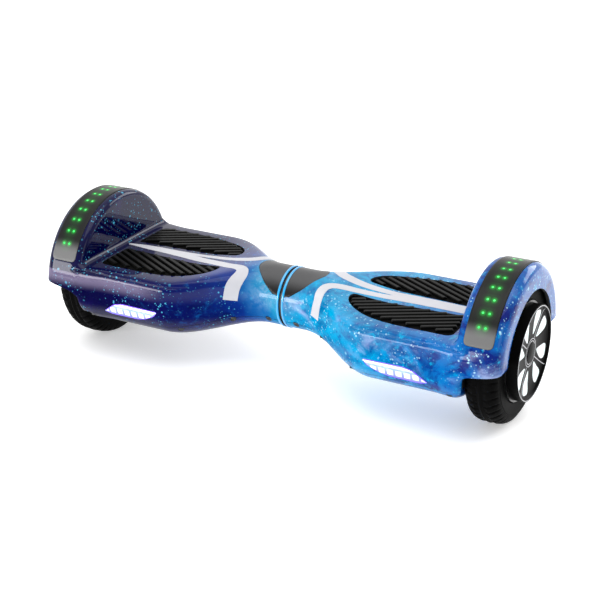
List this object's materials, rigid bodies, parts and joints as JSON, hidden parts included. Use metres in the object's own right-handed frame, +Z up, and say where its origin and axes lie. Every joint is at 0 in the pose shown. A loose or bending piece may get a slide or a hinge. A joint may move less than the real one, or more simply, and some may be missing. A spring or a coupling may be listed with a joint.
{
  "type": "self balancing hoverboard",
  "caption": "Two-wheel self balancing board: two shell halves that twist about a narrow waist, ribbed foot pads, fenders with lights over hub-motor wheels.",
  "frame": {"origin": "on the floor under the middle of the board, between the two halves", "axes": "+X along the board from the left half to the right half, +Y to the rear, where the power button and the charge port are, +Z up"},
  "size_m": [0.5822, 0.1934, 0.1801],
  "materials": {
    "shell_left": "gloss",
    "shell_right": "gloss",
    "smoked_lens": "gloss",
    "headlight": "gloss",
    "pad_rubber": "matte",
    "tyre_rubber": "matte",
    "gloss_black": "gloss",
    "black_plastic": "matte",
    "cast_aluminium": "satin",
    "steel": "satin",
    "bronze": "satin",
    "copper": "satin",
    "magnet": "satin",
    "circuit_board": "satin",
    "battery_wrap": "satin"
  },
  "bodies": {
    "left_half": {"left_top_cover": "shell_left", "left_bottom_cover": "shell_left", "left_status_window": "smoked_lens", "left_headlight_lens": "headlight", "left_headlight_board": "circuit_board", "left_fender_lens": "smoked_lens", "left_fender_light_board": "circuit_board", "left_stator": "copper", "left_axle": "steel", "left_frame": "cast_aluminium", "left_axle_clamp": "cast_aluminium", "left_front_clamp_bolt": "steel", "left_rear_clamp_bolt": "steel", "left_gyro_board": "circuit_board", "pivot_shaft": "steel", "pivot_circlip": "steel", "waist_seal": "black_plastic", "wiring_harness": "pad_rubber", "main_board": "circuit_board", "heat_sink": "cast_aluminium", "speaker": "black_plastic", "charge_port": "black_plastic"},
    "right_half": {"right_top_cover": "shell_right", "right_bottom_cover": "shell_right", "right_status_window": "smoked_lens", "right_headlight_lens": "headlight", "right_headlight_board": "circuit_board", "right_fender_lens": "smoked_lens", "right_fender_light_board": "circuit_board", "right_stator": "copper", "right_axle": "steel", "right_frame": "cast_aluminium", "right_axle_clamp": "cast_aluminium", "right_front_clamp_bolt": "steel", "right_rear_clamp_bolt": "steel", "right_gyro_board": "circuit_board", "waist_bushing": "bronze", "inner_bushing": "bronze", "battery_pack": "battery_wrap", "power_switch": "black_plastic"},
    "left_wheel": {"left_tyre": "tyre_rubber", "left_rotor_drum": "cast_aluminium", "left_motor_cover": "cast_aluminium", "left_outer_bearing": "steel", "left_inner_bearing": "steel", "left_magnet_ring": "magnet", "left_hub_cap": "gloss_black"},
    "right_wheel": {"right_tyre": "tyre_rubber", "right_rotor_drum": "cast_aluminium", "right_motor_cover": "cast_aluminium", "right_outer_bearing": "steel", "right_inner_bearing": "steel", "right_magnet_ring": "magnet", "right_hub_cap": "gloss_black"},
    "left_front_pad": {"left_front_foot_pad": "pad_rubber"},
    "left_rear_pad": {"left_rear_foot_pad": "pad_rubber"},
    "right_front_pad": {"right_front_foot_pad": "pad_rubber"},
    "right_rear_pad": {"right_rear_foot_pad": "pad_rubber"},
    "power_key": {"power_button": "steel"},
    "port_cap": {"charge_port_cap": "pad_rubber"}
  },
  "joints": [
    {"name": "twist", "type": "hinge", "parent": "left_half", "child": "right_half", "pos_m": [0, 0, 0.0909], "axis": [1, 0, 0], "range_deg": [-15, 15]},
    {"name": "left_wheel_spin", "type": "hinge", "parent": "left_half", "child": "left_wheel", "pos_m": [-0.2593, 0, 0.0825], "axis": [1, 0, 0], "continuous": true},
    {"name": "left_front_pad_press", "type": "slide", "parent": "left_half", "child": "left_front_pad", "axis": [0, 0, -1], "range_m": [0, 0.0015], "stiffness_N_per_m": 3000},
    {"name": "left_rear_pad_press", "type": "slide", "parent": "left_half", "child": "left_rear_pad", "axis": [0, 0, -1], "range_m": [0, 0.0015], "stiffness_N_per_m": 3000},
    {"name": "right_wheel_spin", "type": "hinge", "parent": "right_half", "child": "right_wheel", "pos_m": [0.2593, 0, 0.0825], "axis": [1, 0, 0], "continuous": true},
    {"name": "right_front_pad_press", "type": "slide", "parent": "right_half", "child": "right_front_pad", "axis": [0, 0, -1], "range_m": [0, 0.0015], "stiffness_N_per_m": 3000},
    {"name": "right_rear_pad_press", "type": "slide", "parent": "right_half", "child": "right_rear_pad", "axis": [0, 0, -1], "range_m": [0, 0.0015], "stiffness_N_per_m": 3000},
    {"name": "power_press", "type": "slide", "parent": "right_half", "child": "power_key", "axis": [0, -1, 0], "range_m": [0, 0.0015], "stiffness_N_per_m": 1500},
    {"name": "port_cap_swing", "type": "hinge", "parent": "left_half", "child": "port_cap", "pos_m": [-0.15, 0.0952, 0.101], "axis": [1, 0, 0], "range_deg": [0, 110]}
  ]
}
